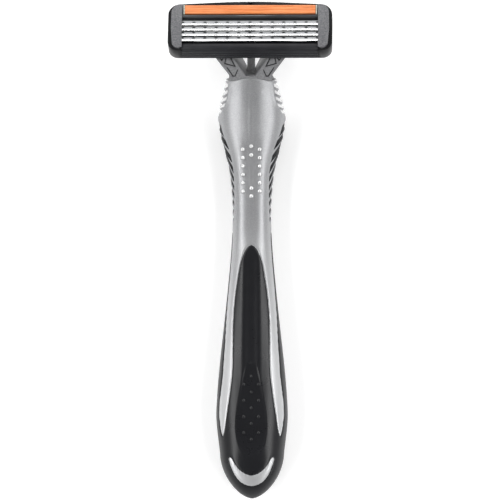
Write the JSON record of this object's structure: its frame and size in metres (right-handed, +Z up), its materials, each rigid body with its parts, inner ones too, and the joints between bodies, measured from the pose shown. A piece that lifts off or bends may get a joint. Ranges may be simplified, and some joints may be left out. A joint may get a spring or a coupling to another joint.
{
  "type": "cartridge razor",
  "caption": "Wet-shave razor: a sprung, pivoting cartridge with separate blades and an orange lubricating strip, on a forked neck that unplugs from a curved silver and black rubber handle.",
  "frame": {"origin": "bottom centre of the whole razor as it lies on the back of its handle", "axes": "+X along the blades, +Y from the butt of the handle to the head, +Z up from the surface it lies on, out of the front of the handle"},
  "size_m": [0.043, 0.131, 0.0231],
  "materials": {
    "core_plastic": "moulded",
    "silver_plastic": "metallic paint under lacquer",
    "grip_rubber": "satin",
    "spring_steel": "fine brushed",
    "yoke_plastic": "fine texture",
    "black_plastic": "satin",
    "guard_rubber": "satin",
    "holder_plastic": "gloss",
    "strip_orange": "waxy",
    "cap_plastic": "fine texture",
    "support_steel": "rolled",
    "blade_steel": "ground"
  },
  "bodies": {
    "handle": {"handle_core": "core_plastic", "handle_skin": "silver_plastic", "rubber_grip": "grip_rubber", "detent_spring": "spring_steel"},
    "connector": {"yoke": "yoke_plastic"},
    "tongue": {"return_tongue": "yoke_plastic"},
    "cartridge": {"cartridge_frame": "black_plastic", "rear_bridge": "black_plastic", "guard": "guard_rubber", "strip_holder": "holder_plastic", "lubricating_strip": "strip_orange", "end_cap_left": "cap_plastic", "end_cap_right": "cap_plastic", "blade_springs_1": "black_plastic", "blade_springs_2": "black_plastic", "blade_springs_3": "black_plastic", "blade_springs_4": "black_plastic"},
    "blade_unit_1": {"blade_1": "blade_steel", "blade_support_1": "support_steel"},
    "blade_unit_2": {"blade_2": "blade_steel", "blade_support_2": "support_steel"},
    "blade_unit_3": {"blade_3": "blade_steel", "blade_support_3": "support_steel"},
    "blade_unit_4": {"blade_4": "blade_steel", "blade_support_4": "support_steel"}
  },
  "joints": [
    {"name": "cartridge_release", "type": "slide", "parent": "handle", "child": "connector", "axis": [0, 0.9397, 0.342], "range_m": [0, 0.0165], "deforming": ["detent_spring"]},
    {"name": "head_pivot", "type": "hinge", "parent": "connector", "child": "cartridge", "pos_m": [0, 0.05496, 0.01381], "axis": [-1, 0, 0], "range_deg": [0, 40], "stiffness_Nm_per_rad": 0.005, "springref_deg": -20.05},
    {"name": "tongue_flex", "type": "hinge", "parent": "connector", "child": "tongue", "pos_m": [0, 0.04679, 0.0116], "axis": [-1, 0, 0], "range_deg": [0, 9]},
    {"name": "blade_1_spring", "type": "slide", "parent": "cartridge", "child": "blade_unit_1", "axis": [0, -0.3746, -0.9272], "range_m": [0, 0.00035], "stiffness_N_per_m": 100, "springref_m": -0.0005, "deforming": ["blade_springs_1"]},
    {"name": "blade_2_spring", "type": "slide", "parent": "cartridge", "child": "blade_unit_2", "axis": [0, -0.3746, -0.9272], "range_m": [0, 0.00035], "stiffness_N_per_m": 100, "springref_m": -0.0005, "deforming": ["blade_springs_2"]},
    {"name": "blade_3_spring", "type": "slide", "parent": "cartridge", "child": "blade_unit_3", "axis": [0, -0.3746, -0.9272], "range_m": [0, 0.00035], "stiffness_N_per_m": 100, "springref_m": -0.0005, "deforming": ["blade_springs_3"]},
    {"name": "blade_4_spring", "type": "slide", "parent": "cartridge", "child": "blade_unit_4", "axis": [0, -0.3746, -0.9272], "range_m": [0, 0.00035], "stiffness_N_per_m": 100, "springref_m": -0.0005, "deforming": ["blade_springs_4"]}
  ],
  "couplings": [
    {"joint": "tongue_flex", "follows": "head_pivot", "ratio": 0.22}
  ]
}
